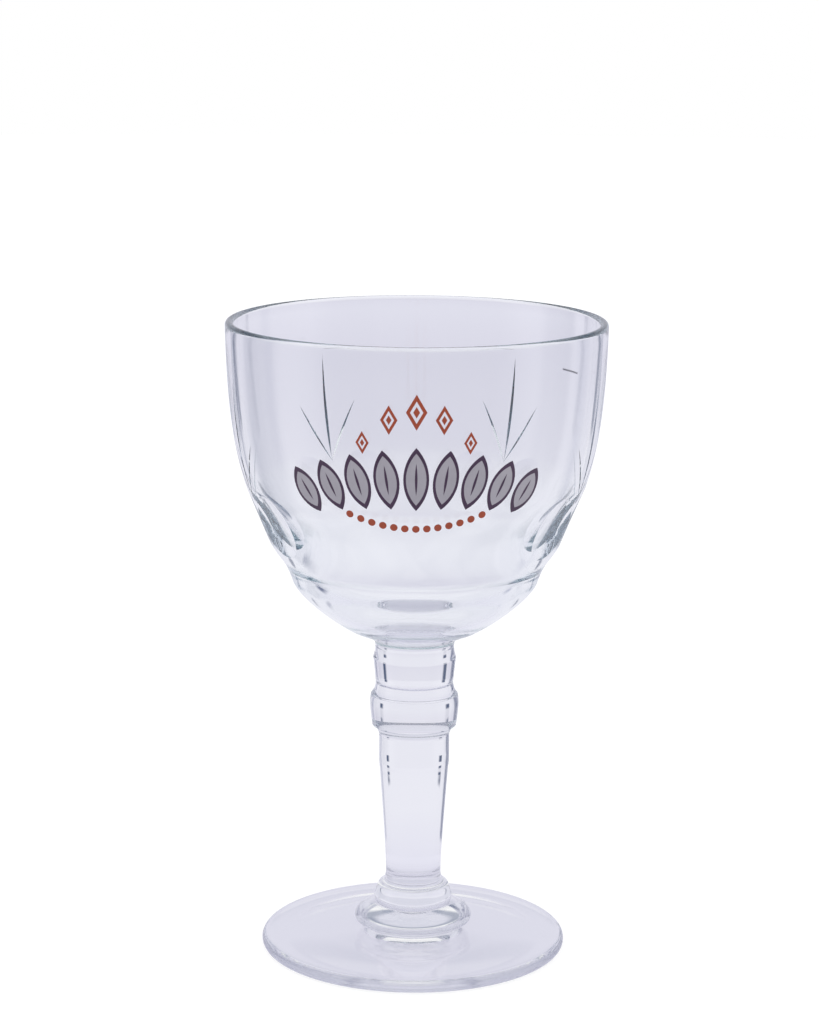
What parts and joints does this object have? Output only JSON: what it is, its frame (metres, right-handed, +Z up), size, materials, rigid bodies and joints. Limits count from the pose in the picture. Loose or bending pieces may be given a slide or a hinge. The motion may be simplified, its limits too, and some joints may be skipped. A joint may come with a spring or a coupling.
{
  "type": "chalice beer glass",
  "caption": "Clear glass beer chalice: a deep round bowl cut with fans and olives, on a knopped stem and a wide flat foot, with a printed leaf spray.",
  "frame": {"origin": "middle of the ring that the foot stands on, on the table plane", "axes": "+Z up along the glass's own axis; -Y faces the front, with the enamel decoration; +X to the right seen from the front"},
  "size_m": [0.1058, 0.1058, 0.18],
  "materials": {
    "clear_glass": "clear soda-lime glass, fire-polished",
    "grey_enamel": "fired ceramic enamel, satin warm grey",
    "plum_enamel": "fired ceramic enamel, satin dark plum",
    "rust_enamel": "fired ceramic enamel, satin rust red"
  },
  "bodies": {
    "root": {"foot": "clear_glass", "foot_knop": "clear_glass", "base_ring": "clear_glass", "stem_shaft": "clear_glass", "stem_collar": "clear_glass", "stem_neck": "clear_glass", "bowl": "clear_glass", "leaf_print": "grey_enamel", "leaf_border_print": "plum_enamel", "lozenge_print": "rust_enamel", "bead_print": "rust_enamel", "fill_line_print": "grey_enamel"}
  },
  "joints": []
}
